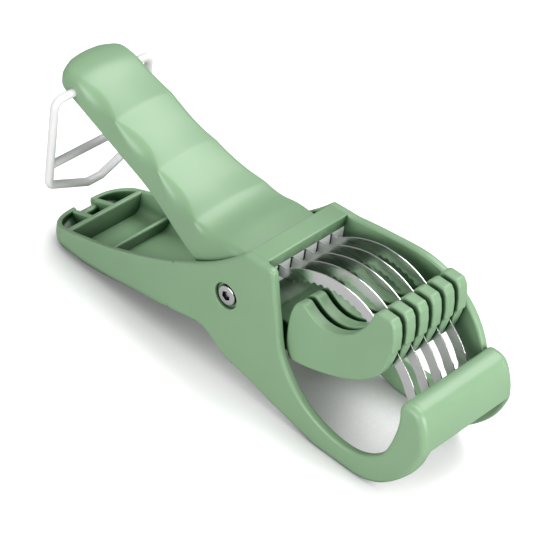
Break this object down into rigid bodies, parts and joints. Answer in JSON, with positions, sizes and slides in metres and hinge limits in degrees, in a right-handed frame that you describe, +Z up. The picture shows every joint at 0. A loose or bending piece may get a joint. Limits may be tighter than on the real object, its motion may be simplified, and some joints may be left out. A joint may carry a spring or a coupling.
{
  "type": "egg slicer",
  "caption": "Hand-held egg slicer: squeezing the handle lifts a ribbed cradle through fixed arched blades, with a swinging lock bail at the handle's tip.",
  "frame": {"origin": "middle of the overall length and width, on the surface the slicer rests on", "axes": "+X from the handle tip to the nose crossbar, +Y across towards the plate with the upper arm, +Z up"},
  "size_m": [0.2284, 0.06, 0.0901],
  "materials": {
    "green_plastic": "satin pastel green moulded plastic",
    "white_coating": "smooth white",
    "blade_steel": "bright rolled stainless strip",
    "hardware_steel": "bright plated steel",
    "spring_steel": "drawn spring wire",
    "washer_nylon": "natural nylon"
  },
  "bodies": {
    "frame": {"frame_body": "green_plastic", "blade_1": "blade_steel", "blade_2": "blade_steel", "blade_3": "blade_steel", "blade_4": "blade_steel", "blade_5": "blade_steel", "blade_root_plate": "blade_steel", "blade_rear_rod": "hardware_steel", "blade_front_rod": "hardware_steel", "pivot_sleeve": "hardware_steel", "pivot_screw": "hardware_steel", "pivot_washers": "washer_nylon", "handle_spring": "spring_steel"},
    "lever": {"upper_handle": "green_plastic", "presser_cradle": "green_plastic"},
    "bail": {"lock_bail": "white_coating"}
  },
  "joints": [
    {"name": "handle_pivot", "type": "hinge", "parent": "frame", "child": "lever", "pos_m": [0.00375, 0, 0.043], "axis": [0, -1, 0], "range_deg": [0, 34], "stiffness_Nm_per_rad": 0.6, "springref_deg": -28.65, "deforming": ["handle_spring"]},
    {"name": "bail_swing", "type": "hinge", "parent": "lever", "child": "bail", "pos_m": [-0.10175, 0, 0.0805], "axis": [0, 1, 0], "range_deg": [-55, 180]}
  ],
  "couplings": [
    {"joint": "bail_swing", "follows": "handle_pivot", "ratio": 3.3}
  ]
}
